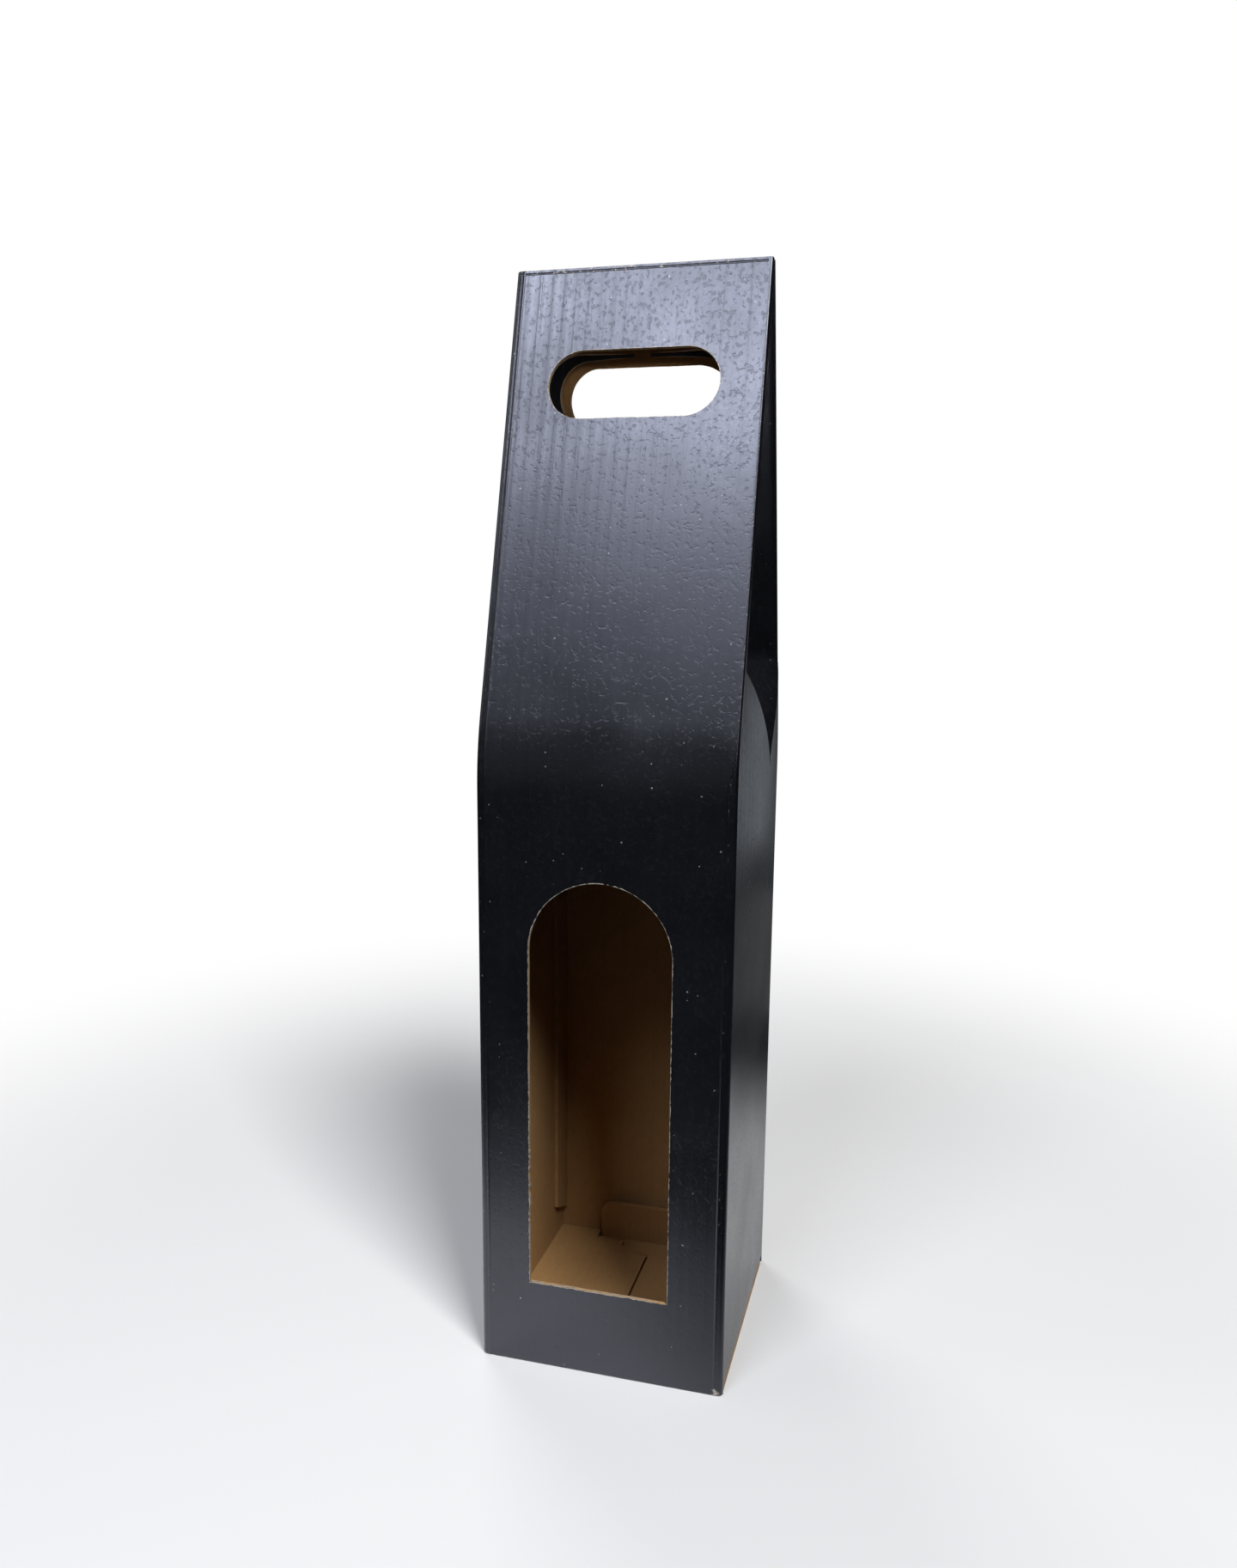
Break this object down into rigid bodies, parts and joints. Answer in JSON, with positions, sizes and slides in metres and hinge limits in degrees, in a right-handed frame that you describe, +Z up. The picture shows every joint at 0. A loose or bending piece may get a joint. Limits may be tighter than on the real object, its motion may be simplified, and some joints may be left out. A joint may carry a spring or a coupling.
{
  "type": "wine box",
  "caption": "Tall folded board box for a bottle, with an arched front window, folded-in sides, a sloped top with a hand slot and a tuck-in bottom.",
  "frame": {"origin": "middle of the underside, on the surface that the box stands on", "axes": "+X to the right across the front, +Y to the back, +Z up; the window faces -Y"},
  "size_m": [0.097, 0.09, 0.388],
  "materials": {
    "printed_board": "satin blue-black print on fluted board",
    "kraft_board": "bare brown kraft liner on fluted board"
  },
  "bodies": {
    "box": {"front_wall": "printed_board", "front_upper": "printed_board", "back_wall": "printed_board", "back_upper": "printed_board", "left_wall": "printed_board", "right_wall": "printed_board", "left_gusset_front": "printed_board", "left_gusset_rear": "printed_board", "right_gusset_front": "printed_board", "right_gusset_rear": "printed_board", "glue_flap": "kraft_board", "top_flap": "printed_board"},
    "bottom": {"bottom_panel": "kraft_board"},
    "tuck": {"bottom_tuck_flap": "kraft_board"},
    "left_dust": {"left_dust_flap": "kraft_board"},
    "right_dust": {"right_dust_flap": "kraft_board"}
  },
  "joints": [
    {"name": "bottom_hinge", "type": "hinge", "parent": "box", "child": "bottom", "pos_m": [0, -0.045, 0], "axis": [-1, 0, 0], "range_deg": [0, 110]},
    {"name": "tuck_hinge", "type": "hinge", "parent": "bottom", "child": "tuck", "pos_m": [0, 0.0428, 0], "axis": [-1, 0, 0], "range_deg": [0, 40]},
    {"name": "left_dust_hinge", "type": "hinge", "parent": "box", "child": "left_dust", "pos_m": [-0.04325, 0, 0.00335], "axis": [0, -1, 0], "range_deg": [0, 75]},
    {"name": "right_dust_hinge", "type": "hinge", "parent": "box", "child": "right_dust", "pos_m": [0.04325, 0, 0.00335], "axis": [0, 1, 0], "range_deg": [0, 75]}
  ],
  "couplings": [
    {"joint": "tuck_hinge", "follows": "bottom_hinge", "ratio": 0.35}
  ]
}
